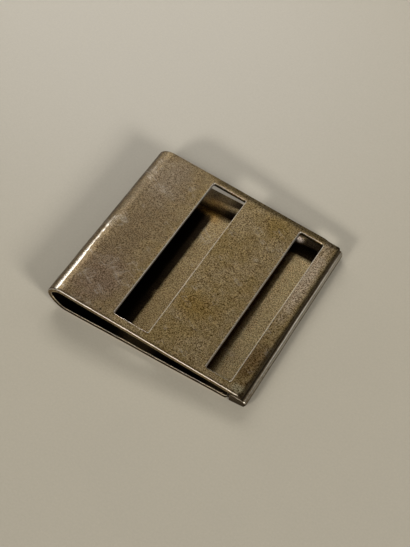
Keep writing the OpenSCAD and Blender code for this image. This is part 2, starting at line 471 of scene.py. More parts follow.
# Sizes and places are in mm. A pair is the start and the end of a fade, and a share says how strong
# an effect is.
sleeve = {
    # the section
    "thick": 6.85,                  # height at the crown of the fold
    "thin": 3.65,                   # height at the free edge
    "sheet": 1.1,
    "noseHeight": 4.0, "lowRun": 5.6, "topRun": 4.2, "lowFull": 0.45, "topFull": 0.52,
    # the plan
    "wideFromNose": 17.1, "wideWidth": 9.4, "narrowFromFree": 4.3, "narrowWidth": 6.7,
    "frontMargin": 2.4, "backMargin": 2.0, "windowCorner": 0.4, "planCorner": 0.6,
    # the rounding of the edges, for the rims of the windows in the order left, right, front, back
    "outerArris": 0.22, "innerArris": 0.12, "freeArris": 0.9, "sideArris": (0.40, 0.10, 0.24, 0.10),
    # the grid, and how many rings go round each rounding
    "faceStep": 0.65, "foldStep": 0.3, "wallRows": 3,
    "arrisRings": 7, "freeRings": 11, "rimRings": (5, 9), "cornerStops": 4, "planStops": 5,
    "pastArris": (1.6, 2.4),        # two more rings past the outer rounding, in parts of its radius
    "pastRim": 0.5,                 # and one past the rim of a window
    "cornerSolid": 0.4,             # the grid bends round a window's corner as far past it as this,
    "cornerFade": 1.3,              # and is straight again here
    # what the hand and the years made uneven
    "skewFront": 0.03, "skewBack": -0.24, "skewFrom": 21.7,     # the free edge runs a little askew
    "waveHeight": 0.035, "waveLength": 23.0,
    "sawWander": 0.06, "sawLength": 31.0, "sawFrom": 19.0,      # the saw and file never ran quite straight
    "kink": -0.30, "kinkAcross": (20.8, 22.6),                  # at the back right corner
    "raggedLength": 5.0, "ragged": 0.5,                         # edges of tarnish wander by this much
    # rubbed rims of the windows, left, right, front, back: how bright, how bright the polished line on
    # each is, and where that line lies in parts of the radius
    "sideRub": (0.95, 0.95, 0.95, 0.62), "rubReach": 0.24,
    "sidePolish": (1.0, 0.0, 1.0, 0.0), "polishAt": (0.5, 0.5, 0.8, 0.5), "polishWidth": 0.25,
    # rubbed rims of the two openings, of the cut walls (outer and inner end) and of the inner face
    "rimRub": 0.8, "rimRidge": 0.2, "rubWidth": 0.10, "rimRubFrom": (0.3, 1.4),
    "wallRub": (0.45, 0.3), "wallRubReach": 0.2,
    "innerRub": 0.6, "innerRubAt": 0.04, "innerRubWidth": 0.12,
    # the line rubbed along the fold, most of all near the front, and the dull side below it
    "foldLine": -2.25, "foldLineWidth": 0.55,
    "foldFade": 0.48, "foldFadeAlong": (-18.0, -9.0), "foldFadeMore": 0.37, "foldFadeMoreAlong": (-6.0, 8.0),
    "flankLow": (-2.0, 2.0), "flankHigh": (-3.6, -2.9),
    # how much weaker the grain is near the fold and inside
    "leftCalm": 0.22, "leftCalmAcross": (-12.0, -6.0), "insideCalm": 0.1,
    # dark tarnish outside: in from the free edge, at its two tips, and along the front and the back rim
    "lipDark": 0.8, "lipDarkIn": (0.35, 0.95), "lipRagged": 0.2,
    "lipDarkMore": 0.2, "lipDarkAlong": (2.0, 14.0),            # it reaches this much further in at the front
    "tipDark": 0.95, "tipDarkAlong": (0.6, 1.5), "tipDarkIn": (1.0, 1.7),
    "frontDark": 0.72, "frontDarkAt": 0.40, "frontDarkWidth": 0.15,
    "backDark": 0.68, "backDarkIn": (1.1, 1.8), "backDarkAcross": (-12.0, -8.0), "backRagged": 0.2,
    "backLine": 0.5, "backLineAt": 0.42, "backLineWidth": 0.2,
    # dark tarnish on the cut walls of the windows, of the free edge and of the ends, and painted shade on the
    # cut walls of the bottom panel
    "windowWallDark": 0.9, "windowWallDown": (0.2, 0.65),
    "freeWallDark": 0.9, "freeWallIn": (0.05, 0.3),
    "endWallDark": 0.75, "endWallAcross": (22.2, 23.4), "endWallIn": 0.02,
    "lowWallDark": 0.95,
    # painted shade inside, where the sleeve lies in shade: in the fold, over the bar and under the top panel
    "foldDark": 0.8, "foldDarkLow": (-5.0, 1.0), "foldDarkHigh": (-1.0, 6.0),
    "barDark": 0.9, "barDarkAcross": (-1.8, -0.2),
    "panelDark": 0.85, "frontEndAlong": (21.5, 24.5),
    "backEndAlong": (19.3, 19.9), "backEndRagged": 0.3,
    # painted light at the back end: a paler band slanting across it where light comes in through the back
    # opening, a paler place at the left and a lit spot in the narrow window
    "bandSlant": 0.10, "bandPivot": -6.0, "bandFrom": (22.2, 22.9), "bandTo": (23.7, 24.2),
    "bandPale": 0.14, "bandPaleMore": 0.4, "bandPaleAcross": (-9.0, -2.0),
    "leftPale": 0.12, "leftPaleAcross": (-6.0, -3.0),
    "spotPale": 0.35, "spotAt": (15.3, 24.4), "spotSize": (0.8, 0.7),
    # painted shadow on the floor at the left in the wide window and at the back in the narrow one, and the
    # film at the rim
    "leftFloorAcross": (-7.0, -6.2), "leftFloorAlong": (17.0, 20.0), "leftFloorRagged": (0.4, 2.0),
    "rightFloorAcross": (15.6, 16.6), "rightFloorAlong": (19.6, 20.6), "rightFloorRagged": 0.4,
    "innerRimIn": (0.08, 0.3), "innerRimDark": 0.5,
}


# Slope of the top panel from the crown to the free edge: its rise over its run, below 0 because it falls.
def topSlope(s):
    return (s["thin"] - s["thick"]) / (sheetHigh[0] - sheetLow[0] - s["topRun"])


# Height of the underside of the top panel at x: its straight upper line, less the sheet's thickness
# measured upright.
def underTop(x, s):
    slope = topSlope(s)
    return s["thick"] + slope * (x - sheetLow[0] - s["topRun"]) - s["sheet"] / math.cos(math.atan(slope))


# The outer line of the section from the end of the bottom panel, round the fold, to the free edge:
# distance along it, x, z and the outward normal, all at close steps, and where the fold starts and ends.
def sectionLine(s, bendCount=300, stepCount=5000):
    nose, free, crown = sheetLow[0], sheetHigh[0], sheetLow[0] + s["topRun"]
    lowFlat, noseHeight, thick = nose + s["lowRun"], s["noseHeight"], s["thick"]
    lead = s["topFull"] * s["topRun"]
    low = bezier([(lowFlat, 0), (lowFlat - s["lowFull"] * s["lowRun"], 0),
                  (nose, noseHeight * (1 - s["lowFull"])), (nose, noseHeight)], bendCount)
    top = bezier([(nose, noseHeight), (nose, noseHeight + s["topFull"] * (thick - noseHeight)),
                  (crown - lead, thick - lead * topSlope(s)), (crown, thick)], bendCount)
    line = np.concatenate([[(gapLow[0], 0)], low, top[1:], [(free, s["thin"])]])
    along = distanceAlong(line)
    steps = np.linspace(0, along[-1], stepCount)
    x, z = np.interp(steps, along, line[:, 0]), np.interp(steps, along, line[:, 1])
    dx, dz = np.gradient(x, steps), np.gradient(z, steps)
    size = np.hypot(dx, dz)
    return steps, x, z, -dz / size, dx / size, along[1], along[-2]


# How far the free edge stands out at a depth y: its two ends joined by a straight line.
def freeSkew(y, s):
    share = (y - sheetLow[1]) / (sheetHigh[1] - sheetLow[1])
    return s["skewFront"] + (s["skewBack"] - s["skewFront"]) * share


# How much a point belongs to the left, right, front and back rim of a window: the square of how far
# it lies to that side, divided so that the four add up to 1.
def sideShares(u, v, low, high, r):
    sides = [low[0] + r - u, u - high[0] + r, low[1] + r - v, v - high[1] + r]
    weights = np.maximum(sides, 0) ** 2 + tiny
    return weights / weights.sum(0)


# The sheet's grid of u along the section and v along the depth: lines close together at every edge and
# corner and evenly spaced between. solid says which cells are metal and don't lie in a window.
def sleeveGrid(s, length, half, foldFrom, foldTo, windows):
    arris, rims, (fewRings, manyRings) = s["outerArris"], s["sideArris"], s["rimRings"]
    bands = np.concatenate([edgeRings(arris, s["arrisRings"]), arris * np.array(s["pastArris"])])
    freeBands = np.concatenate([edgeRings(s["freeArris"], s["freeRings"]), bands])
    rimRings = [edgeRings(min(rims), fewRings), edgeRings(max(rims), manyRings)]
    rimBands = np.concatenate(rimRings + [[s["pastRim"]]])
    corner = np.linspace(0, s["windowCorner"], s["cornerStops"])
    plan = np.linspace(0, s["planCorner"], s["planStops"])
    uStops = [bands, length - freeBands, plan, length - plan, np.arange(foldFrom, foldTo, s["foldStep"])]
    vStops = [bands - half, half - bands, plan - half, half - plan]
    for low, high in windows:
        for stops, a, b in ((uStops, low[0], high[0]), (vStops, low[1], high[1])):
            stops += [a - rimBands, a + corner, b - corner, b + rimBands]
    uLines, vLines = (fillStops(np.concatenate(stops), s["faceStep"]) for stops in (uStops, vStops))
    u, v = np.meshgrid(uLines, vLines, indexing="ij")
    uMid, vMid = (uLines[1:] + uLines[:-1]) / 2, (vLines[1:] + vLines[:-1]) / 2
    solid = np.ones((len(uMid), len(vMid)), bool)
    for low, high in windows:
        inU, inV = (uMid > low[0]) & (uMid < high[0]), (vMid > low[1]) & (vMid < high[1])
        solid &= ~(inU[:, None] & inV[None, :])
    return u, v, solid


# Rounds the corners of the windows and of the whole sheet by bending the grid at each corner.
def roundCorners(u, v, s, length, half, windows):
    r, plan = s["windowCorner"], s["planCorner"]
    outlines = [(low, high, r, r + s["cornerSolid"], r + s["cornerFade"]) for low, high in windows]
    outlines.append(((0, -half), (length, half), plan, plan, plan + 0.001))
    for low, high, r, solid, reach in outlines:
        for centreU, towardsU in ((low[0] + r, -1), (high[0] - r, 1)):
            for centreV, towardsV in ((low[1] + r, -1), (high[1] - r, 1)):
                u, v = roundCorner(u, v, (centreU, centreV), (towardsU, towardsV), solid, reach)
    return u, v


# The rims of the windows: distance to the nearest one, how deep its rounding has dropped, how close a
# point lies to its rubbed rim, and how close to the polished line on it.
def windowRims(u, v, s, windows):
    toWindow = np.full_like(u, np.inf)
    drop, rub, polish = np.zeros_like(u), np.zeros_like(u), np.zeros_like(u)
    for low, high in windows:
        toThis = np.maximum(roundedRectangle(u, v, low, high, s["windowCorner"]), 0)
        shares = sideShares(u, v, low, high, s["windowCorner"])
        toWindow = np.minimum(toWindow, toThis)
        drop = np.maximum(drop, edgeDrop(toThis, np.tensordot(s["sideArris"], shares, 1)))
        rub = np.maximum(rub, softLine(toThis, 0, s["rubReach"]) * np.tensordot(s["sideRub"], shares, 1))
        for share, radius, lineAt, bright in zip(shares, s["sideArris"], s["polishAt"], s["sidePolish"]):
            polish = np.maximum(polish, softLine(toThis / radius, lineAt, s["polishWidth"]) * share * bright)
    return toWindow, drop, rub, polish


# Faces of a sheet in layers: the metal cells of the outer and of the inner face, and rows down each cut
# edge, which is the side of a metal cell with no metal beside it.
def sheetFaces(solid, rows):
    rowsU, rowsV = solid.shape[0] + 1, solid.shape[1] + 1
    layer = rowsU * rowsV
    ids = np.arange(layer).reshape(rowsU, rowsV)
    a, b, c, d = ids[:-1, :-1], ids[1:, :-1], ids[1:, 1:], ids[:-1, 1:]
    quads = np.stack([a, b, c, d], -1)[solid]
    faces = [quads, quads[:, ::-1] + rows * layer]
    padded = np.pad(solid, 1)
    beside = (padded[1:-1, :-2], padded[2:, 1:-1], padded[1:-1, 2:], padded[:-2, 1:-1])
    for start, end, metal in zip((a, b, c, d), (b, c, d, a), beside):
        cut = solid & ~metal
        first, second = start[cut], end[cut]
        for k in range(rows):
            here, below = k * layer, (k + 1) * layer
            faces.append(np.stack([second + here, first + here, first + below, second + below], -1))
    return faces


# Dark tarnish on the outer face: the strongest of the dark places along the free edge, at its tips,
# and along the front and the back rim of the top panel.
def outerTarnish(s, at):
    x, y, toFree, ragged, topSide = at["x"], at["y"], at["toFree"], at["ragged"], at["topSide"]
    fromLip = toFree - s["lipRagged"] * ragged - s["lipDarkMore"] * easeIn(-y, *s["lipDarkAlong"])
    lip = s["lipDark"] * easeOut(fromLip, *s["lipDarkIn"])
    tips = s["tipDark"] * easeOut(at["toOpening"], *s["tipDarkAlong"]) * easeOut(toFree, *s["tipDarkIn"])
    front = s["frontDark"] * softLine(at["toFront"], s["frontDarkAt"], s["frontDarkWidth"])
    back = easeOut(at["toBack"] + s["backRagged"] * ragged, *s["backDarkIn"])
    back = back * easeIn(x, *s["backDarkAcross"])
    back = np.maximum(back, s["backLine"] * softLine(at["toBack"], s["backLineAt"], s["backLineWidth"]))
    return np.maximum.reduce([lip, tips, front * topSide, s["backDark"] * back * topSide])


# Dark tarnish on the cut walls at a share of the way down from the outer face, and painted shade on those of
# the bottom panel.
def wallTarnishAndShade(s, at, share):
    topSide = at["topSide"]
    ofWindow = (at["toWindow"] < at["toRim"]) * topSide
    ofEnd = (at["toRim"] < s["endWallIn"]) * topSide
    windowWall = s["windowWallDark"] * easeIn(share, *s["windowWallDown"]) * ofWindow
    freeWall = s["freeWallDark"] * easeOut(at["toFree"], *s["freeWallIn"])
    endWall = s["endWallDark"] * easeIn(at["x"], *s["endWallAcross"]) * ofEnd
    return np.maximum.reduce([windowWall, freeWall, endWall, s["lowWallDark"] * (1 - topSide)])


# Painted shade on the inner face, where the inside of the sleeve lies in shade: the strongest of the dark
# places in the fold, over the bar, under the top panel, at the two ends and on the floor, lightened by
# painted light in a band and a spot at the back end. A thin film takes its place near the rim.
def innerPaintedShade(s, at):
    x, y, ragged, topSide = at["x"], at["y"], at["ragged"], at["topSide"]
    inFold = easeIn(at["pastLow"], *s["foldDarkLow"]) * easeOut(at["pastTop"], *s["foldDarkHigh"])
    overBar = easeIn(x - barLow[0], *s["barDarkAcross"]) * topSide
    slanted = y - s["bandSlant"] * (x - s["bandPivot"])
    band = easeIn(slanted, *s["bandFrom"]) * easeOut(slanted, *s["bandTo"])
    bandPale = s["bandPale"] + s["bandPaleMore"] * easeIn(x, *s["bandPaleAcross"])
    spot = softLine(x, s["spotAt"][0], s["spotSize"][0]) * softLine(y, s["spotAt"][1], s["spotSize"][1])
    backEnd = easeIn(y + s["backEndRagged"] * ragged, *s["backEndAlong"]) * (1 - bandPale * band)
    backEnd *= 1 - s["leftPale"] * easeOut(x, *s["leftPaleAcross"]) - s["spotPale"] * spot
    acrossRagged, alongRagged = s["leftFloorRagged"]
    leftFloor = easeOut(x + acrossRagged * ragged, *s["leftFloorAcross"])
    leftFloor = leftFloor * easeOut(y + alongRagged * ragged, *s["leftFloorAlong"])
    rightFloor = easeIn(y + s["rightFloorRagged"] * ragged, *s["rightFloorAlong"])
    rightFloor = rightFloor * easeIn(x, *s["rightFloorAcross"])
    floor = np.maximum(leftFloor, rightFloor) * (1 - topSide)
    dark = np.maximum.reduce([s["foldDark"] * inFold, s["barDark"] * overBar, s["panelDark"] * topSide,
                              easeIn(-y, *s["frontEndAlong"]), backEnd, floor])
    away = np.maximum(easeIn(at["toRim"], *s["innerRimIn"]), easeIn(x, *s["endWallAcross"]) * topSide)
    return dark * away + s["innerRimDark"] * (1 - away) * (1 - topSide)


# The values that the material reads, for each layer from the outer face to the inner one.
def sleeveWear(s, at, windowRub, rimPolish):
    x, y, toEdge = at["x"], at["y"], at["toEdge"]
    rows = s["wallRows"] + 1
    shares = np.arange(rows + 1) / rows
    none = [np.zeros_like(x)] * rows
    rimRub = softLine(at["toOpening"], s["outerArris"] * s["rimRidge"], s["rubWidth"])
    rimRub = s["rimRub"] * rimRub * easeIn(at["toFree"], *s["rimRubFrom"])
    rub = [np.maximum(rimRub, windowRub)]
    recess = [outerTarnish(s, at)]
    for share in shares[1:-1]:
        outerEnd, innerEnd = (softLine(reach, 0, s["wallRubReach"]) for reach in (share, 1 - share))
        rub.append(np.full_like(x, s["wallRub"][0] * outerEnd + s["wallRub"][1] * innerEnd))
        recess.append(wallTarnishAndShade(s, at, share))
    rub.append(s["innerRub"] * softLine(toEdge, s["innerRubAt"], s["innerRubWidth"]))
    recess.append(innerPaintedShade(s, at))
    fade = s["foldFade"] * easeIn(y, *s["foldFadeAlong"])
    fade = fade + s["foldFadeMore"] * easeIn(y, *s["foldFadeMoreAlong"])
    foldLine = softLine(at["pastTop"], s["foldLine"], s["foldLineWidth"]) * (1 - fade)
    flank = easeIn(at["pastLow"], *s["flankLow"]) * easeOut(at["pastTop"], *s["flankHigh"])
    inside = [np.full_like(x, share) for share in shares]
    calm = [s["insideCalm"] * part for part in inside]
    calm[0] = s["leftCalm"] * easeOut(x, *s["leftCalmAcross"])
    values = {"rub": rub, "inside": inside, "recess": recess, "calm": calm,
              "polish": [np.maximum(foldLine, rimPolish)] + none, "flank": [flank] + none}
    return {key: np.concatenate([part.ravel() for part in parts]) for key, parts in values.items()}


# The sheet as a surface of the distance u along the section and the depth v, in layers: the outer face,
# rows down the cut edges, and the inner face. A point lies at line(u) - normal(u) * (depth - wave).
def foldedSleeve(s, material):
    along, lineX, lineZ, normalX, normalZ, foldFrom, foldTo = sectionLine(s)
    nose, free = sheetLow[0], sheetHigh[0]
    length, half = along[-1], sheetHigh[1]
    crownAt = np.argmax(lineZ)
    wideX = nose + s["wideFromNose"]
    narrowX = free - s["narrowFromFree"] - s["narrowWidth"]
    sideXs = (wideX, wideX + s["wideWidth"], narrowX, narrowX + s["narrowWidth"])
    sides = np.interp(sideXs, lineX[crownAt:], along[crownAt:])
    frontY, backY = s["frontMargin"] - half, half - s["backMargin"]
    windows = [((sides[k], frontY), (sides[k + 1], backY)) for k in (0, 2)]

    u, v, solid = sleeveGrid(s, length, half, foldFrom, foldTo, windows)
    u, v = roundCorners(u, v, s, length, half, windows)
    toWindow, windowDrop, windowRub, rimPolish = windowRims(u, v, s, windows)
    toRim = np.maximum(-roundedRectangle(u, v, (0, -half), (length, half), s["planCorner"]), 0)
    toEdge, toFree = np.minimum(toRim, toWindow), np.maximum(length - u, 0)
    rimDrop, freeDrop = edgeDrop(toRim, s["outerArris"]), edgeDrop(toFree, s["freeArris"])
    outerDrop = np.maximum.reduce([rimDrop, windowDrop, freeDrop])
    innerDrop = edgeDrop(toEdge, s["innerArris"])

    x, topSide = np.interp(u, along, lineX), easeIn(u, foldFrom, foldTo)
    wander = s["sawWander"] * slowWaves(u, v * 0.2, s["sawLength"], count=4, phase=0.7)
    nearFront, nearBack = easeIn(-v, s["sawFrom"], half), easeIn(v, s["sawFrom"], half)
    kink = s["kink"] * easeIn(x, *s["kinkAcross"]) * topSide
    shift = wander * (nearFront + nearBack) + kink * nearBack
    skew = freeSkew(v, s) * easeIn(x, s["skewFrom"], free) * topSide
    wave = s["waveHeight"] * slowWaves(u, v, s["waveLength"], count=5, phase=0.35)
    outX, outZ = np.interp(u, along, normalX), np.interp(u, along, normalZ)
    z = np.interp(u, along, lineZ)
    rows = s["wallRows"] + 1
    layers = []
    for k in range(rows + 1):
        inwards = outerDrop + (s["sheet"] - innerDrop - outerDrop) * k / rows - wave
        layers.append(np.stack([x - outX * inwards + skew, v + shift, z - outZ * inwards], -1).reshape(-1, 3))

    at = {"x": x, "y": v, "topSide": topSide, "toRim": toRim, "toWindow": toWindow, "toEdge": toEdge,
          "toFree": toFree, "toOpening": half - np.abs(v), "toFront": v + half, "toBack": half - v,
          "pastLow": u - foldFrom, "pastTop": u - foldTo,
          "ragged": s["ragged"] * slowWaves(u, v, s["raggedLength"], count=4, phase=2.1)}
    values = sleeveWear(s, at, windowRub, rimPolish)
    return makePiece("foldedSleeve", np.concatenate(layers), sheetFaces(solid, rows), material, values)


print("making the folded sleeve")
silver = tarnishedSilver(silverLook)
sheetPiece = foldedSleeve(sleeve, silver)
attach(sheetPiece, "root")
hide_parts("folded_sleeve")


bar = {
    "outerRound": 1.15, "lowOuterRound": 0.8, "innerRound": 0.4, "lowRound": 0.25, "endRound": 0.25,
    "rise": 0.3,                    # how far the underside climbs to the outer side
    "film": 0.1,                    # solder between the bar and the top panel
    "planCorner": 0.7, "cornerReach": 2.2,
    "frontIn": 0.25,                # how far the outer side stands in at the front
    "backIn": 0.95,                 # and at the back
    "innerStraight": 1.0,           # this much of the inner side stays straight
    "step": 0.8, "outlineStep": 0.35,
    "wave": 0.03, "waveLength": 19.0, "waveUp": 0.4,
    # the lip is rubbed outside the shade of the free edge, less so near the front, and so are the ends
    "shadeOut": 0.2, "shadeMore": 0.24, "shadeAlong": (-8.0, 22.0),
    "lipRub": 0.85, "lipFade": 0.3, "lipFadeAlong": (8.0, 20.0), "lipEase": 0.2,
    "endRub": 0.6, "endRubAt": 0.07, "endRubWidth": 0.1,
    # painted shade low on the outer side, by the table, and in the corner under the sheet, and grime on the
    # end faces
    "lowShade": 0.92, "lowShadeUp": (1.4, 1.85),
    "cornerShade": 0.8, "cornerOut": (-0.15, 0.1), "cornerUp": (1.5, 2.0),
    "endGrime": 0.85, "endGrimeIn": (-0.05, 0.08),
}


# A prism with a rounded outline and rounded ends: the outline moves in by the edge drop near each end,
# then shrinks to a point that closes it. Rows run along Y and columns round the outline.
def roundedPrism(outline, stations, endRound, name, material, shape, wearAt):
    count = len(outline)
    before, after = np.roll(outline, 1, 0), np.roll(outline, -1, 0)
    tangent = (after - before) / np.maximum(np.hypot(*(after - before).T), tiny)[:, None]
    inward = np.stack([-tangent[:, 1], tangent[:, 0]], 1)
    centre = (outline.min(0) + outline.max(0)) / 2
    low, high = stations[0], stations[-1]
    rings = edgeRings(endRound, count=6)
    body = fillStops(np.concatenate([low + rings, high - rings, [low, high]]), stations[1] - stations[0])
    fromEnd = np.minimum(body - low, high - body)
    loops = outline[None] + inward[None] * edgeDrop(fromEnd, endRound)[:, None, None]
    shrink = np.array([0.05, 0.3, 0.55, 0.8])
    front = centre + (loops[0][None] - centre) * shrink[:, None, None]
    back = centre + (loops[-1][None] - centre) * shrink[::-1][:, None, None]
    loops = np.concatenate([front, loops, back])
    y = np.concatenate([np.full(len(shrink), low), body, np.full(len(shrink), high)])
    toEnd = np.concatenate([shrink - 1, fromEnd, shrink[::-1] - 1])     # below 0 on the end faces
    grid = np.stack([loops[..., 0], np.broadcast_to(y[:, None], loops.shape[:2]), loops[..., 1]], -1)
    points = shape(grid.reshape(-1, 3))
    ids = np.arange(len(y) * count).reshape(len(y), count)
    right, up = np.roll(ids, -1, 1), ids[1:]
    quads = np.stack([ids[:-1], up, right[1:], right[:-1]], -1).reshape(-1, 4)
    poles = shape(np.array([[centre[0], low, centre[1]], [centre[0], high, centre[1]]]))
    first, second = len(points), len(points) + 1
    fans = [np.stack([np.full(count, first), ids[0], right[0]], 1),
            np.stack([np.full(count, second), right[-1], ids[-1]], 1)]
    rub, shadeAndGrime = wearAt(points, np.repeat(toEnd, count))
    values = {"rub": np.concatenate([rub, [0, 0]]), "shadeAndGrime": np.concatenate([shadeAndGrime, [1, 1]])}
    return makePiece(name, np.concatenate([points, poles]), [quads] + fans, material, values)


# Places along the depth from low to high, all a step apart but the last.
def evenStations(low, high, step):
    stations = np.arange(low, high + step / 2, step)
    stations[-1] = high
    return stations


# The outline of the bar in X and Z, anticlockwise from its lower inner corner: four arcs joined by
# straight lines, the upper one along the underside of the top panel less the film of solder.
def barOutline(b, s):
    slope = topSlope(s)
    tilt, cosine = math.degrees(math.atan(slope)), math.cos(math.atan(slope))
    inX, outX, top, inner, small = barLow[0], barHigh[0], b["outerRound"], b["innerRound"], b["lowRound"]
    low = b["lowOuterRound"]
    climb = math.atan(b["rise"] / (outX - inX - low))
    lowCentre = (outX - low, b["rise"] + low / math.cos(climb))
    topCentre = (outX - top, underTop(outX - top, s) - b["film"] - top / cosine)
    innerCentre = (inX + inner, underTop(inX + inner, s) - b["film"] - inner / cosine)
    corners = [arc((inX + small, small), small, 180, 270, count=5),
               arc(lowCentre, low, math.degrees(climb) - 90, 0, count=9),
               arc(topCentre, top, 0, 90 + tilt, count=9),
               arc(innerCentre, inner, 90 + tilt, 180, count=6)]
    return evenOutline(np.concatenate(corners), b["outlineStep"])


# Where the points of the bar really lie: its outer corners are rounded in plan, its outer side stands
# in a little towards the back, and slow waves run along it.
def barShape(points):
    x, y, z = points.T
    low, high, half, r = barLow[0], barHigh[0], barHigh[1], bar["planCorner"]
    over = np.clip(x - (high - r), 0, r)
    cut = r - np.sqrt(r * r - over ** 2)
    newY = y - np.sign(y) * cut * easeIn(np.abs(y), half - bar["cornerReach"], half)
    out = easeIn(x, low + bar["innerStraight"], high)
    skew = -(bar["frontIn"] + (bar["backIn"] - bar["frontIn"]) * (y + half) / (2 * half)) * out
    wave = bar["wave"] * slowWaves(y, z * 3, bar["waveLength"], count=4, phase=1.1) * out
    return np.stack([x + skew + wave, newY, z + bar["waveUp"] * wave], 1)


# Rubbed along the lip of the bar and at the rims of its two ends, dark with grime on the end faces,
# and with painted shade low on its outer side, by the table, and in the corner under the sheet.
def barWear(points, toEnd):
    b = bar
    x, y, z = points.T
    shade = sheetHigh[0] + freeSkew(y, sleeve) + b["shadeOut"] + b["shadeMore"] * easeIn(-y, *b["shadeAlong"])
    lip = b["lipRub"] - b["lipFade"] * easeIn(-y, *b["lipFadeAlong"])
    lip = lip * easeIn(x, shade, shade + b["lipEase"])
    ends = b["endRub"] * softLine(toEnd, b["endRubAt"], b["endRubWidth"]) * (toEnd > -0.01)
    lowSide = easeOut(z, *b["lowShadeUp"])
    corner = easeOut(x - shade, *b["cornerOut"]) * easeIn(z, *b["cornerUp"])
    endFace = easeOut(toEnd, *b["endGrimeIn"])
    shadeAndGrime = np.maximum.reduce([b["lowShade"] * lowSide, b["cornerShade"] * corner, b["endGrime"] * endFace])
    return np.maximum(lip * (1 - lowSide), ends), shadeAndGrime


barLook = {
    # dark is the colour of the painted shade and of the grime
    "clean": (0.36, 0.31, 0.23, 1), "tarnish": (0.16, 0.11, 0.055, 1), "dark": (0.05, 0.035, 0.02, 1),
    "bright": (0.80, 0.76, 0.68, 1), "roughClean": 0.36, "roughTarnish": 0.5, "roughBright": 0.28,
    "grain": {"Size": 0.5}, "grainHeight": 0.03, "cloud": {"Size": 4.0, "From": 0.35, "To": 0.65},
    "film": 0.3, "filmCloud": 0.6, "filmGrain": 0.25,   # film of tarnish everywhere, and by cloud and grain
    "scratches": {"Turn": 1.45, "Length": 9.0, "Spacing": 0.5}, "scratchShare": 0.25, "scratchDepth": 0.004,
    "rubbed": {"Wear": 0.6, "Uneven": 0.6}, "rubbedShare": 0.6,
}


# Silver of the bar: as the sheet, but browner, rubbed along its outer side, and dark with painted shade and
# grime.
def barSilver(look):
    material, tree, shader, place = startMaterial("barSilver")
    grain = placeGroup(tree, silverGrain, Position=place, **look["grain"])
    cloud = placeGroup(tree, tarnishCloud, Position=place, **look["cloud"])["Mask"]
    film = maths(tree, "ADD", maths(tree, "MULTIPLY", cloud, look["filmCloud"]),
                 maths(tree, "MULTIPLY", grain["Tone"], look["filmGrain"]))
    film = maths(tree, "ADD", film, look["film"], clamp=True)
    colour = mixColour(tree, film, look["clean"], look["tarnish"])
    scratches = placeGroup(tree, hairScratch, Position=place, **look["scratches"])["Mask"]
    rub = attribute(tree, "rub")
    bare = placeGroup(tree, rubbedEdge, Position=place, Closeness=rub, **look["rubbed"])["Mask"]
    colour = layOver(tree, colour, scratches, look["scratchShare"], look["bright"])
    colour = layOver(tree, colour, bare, look["rubbedShare"], look["bright"])
    # painted shade and grime darken the colour
    colour = mixColour(tree, attribute(tree, "shadeAndGrime"), colour, look["dark"])
    put(tree, shader.inputs["Base Color"], colour)
    roughness = mixValue(tree, film, look["roughClean"], look["roughTarnish"])
    put(tree, shader.inputs["Roughness"], mixValue(tree, bare, roughness, look["roughBright"]))
    shader.inputs["Metallic"].default_value = 1.0
    putBump(tree, shader, scratchedHeight(tree, grain, look["grainHeight"], scratches, look["scratchDepth"]))
    return material


print("making the thin end bar")
barStations = evenStations(barLow[1], barHigh[1], bar["step"])
barPiece = roundedPrism(barOutline(bar, sleeve), barStations, bar["endRound"], "thinEndBar",
                        barSilver(barLook), barShape, barWear)
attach(barPiece, "root")
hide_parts("thin_end_bar")


solder = {
    "embed": 0.02,                  # how far the film runs into the sheet and the bar, so no slit shows
    "wander": 0.12,                 # how far its edge wanders in and out
    "waveLength": 9.0,
    "meniscus": 0.12,               # how far its free faces are hollow
    "flatUnder": 0.15,              # a face whose half width is less stays flat
    "freePart": (0.2, 1.0),         # the hollow grows from here to the face, in parts of the half width
    "step": 0.6, "outlineStep": 0.12, "endRound": 0.03,
}

solderLook = {
    "grey": (0.16, 0.135, 0.10, 1), "dark": (0.035, 0.026, 0.016, 1), "rough": 0.55,
    "grain": {"Size": 0.3}, "grainHeight": 0.05,
    "crust": {"Size": 1.8, "From": 0.35, "To": 0.6}, "crustGrain": 0.2,
}


# Oxidised silver solder: grey metal under dark crust, with pits.
def solderMetal(look):
    material, tree, shader, place = startMaterial("solderMetal")
    grain = placeGroup(tree, silverGrain, Position=place, **look["grain"])
    crust = placeGroup(tree, tarnishCloud, Position=place, **look["crust"])["Mask"]
    crust = maths(tree, "ADD", crust, maths(tree, "MULTIPLY", grain["Tone"], look["crustGrain"]), clamp=True)
    put(tree, shader.inputs["Base Color"], mixColour(tree, crust, look["grey"], look["dark"]))
    shader.inputs["Roughness"].default_value = look["rough"]
    shader.inputs["Metallic"].default_value = 1.0
    putBump(tree, shader, maths(tree, "MULTIPLY", grain["Height"], look["grainHeight"]))
    return material


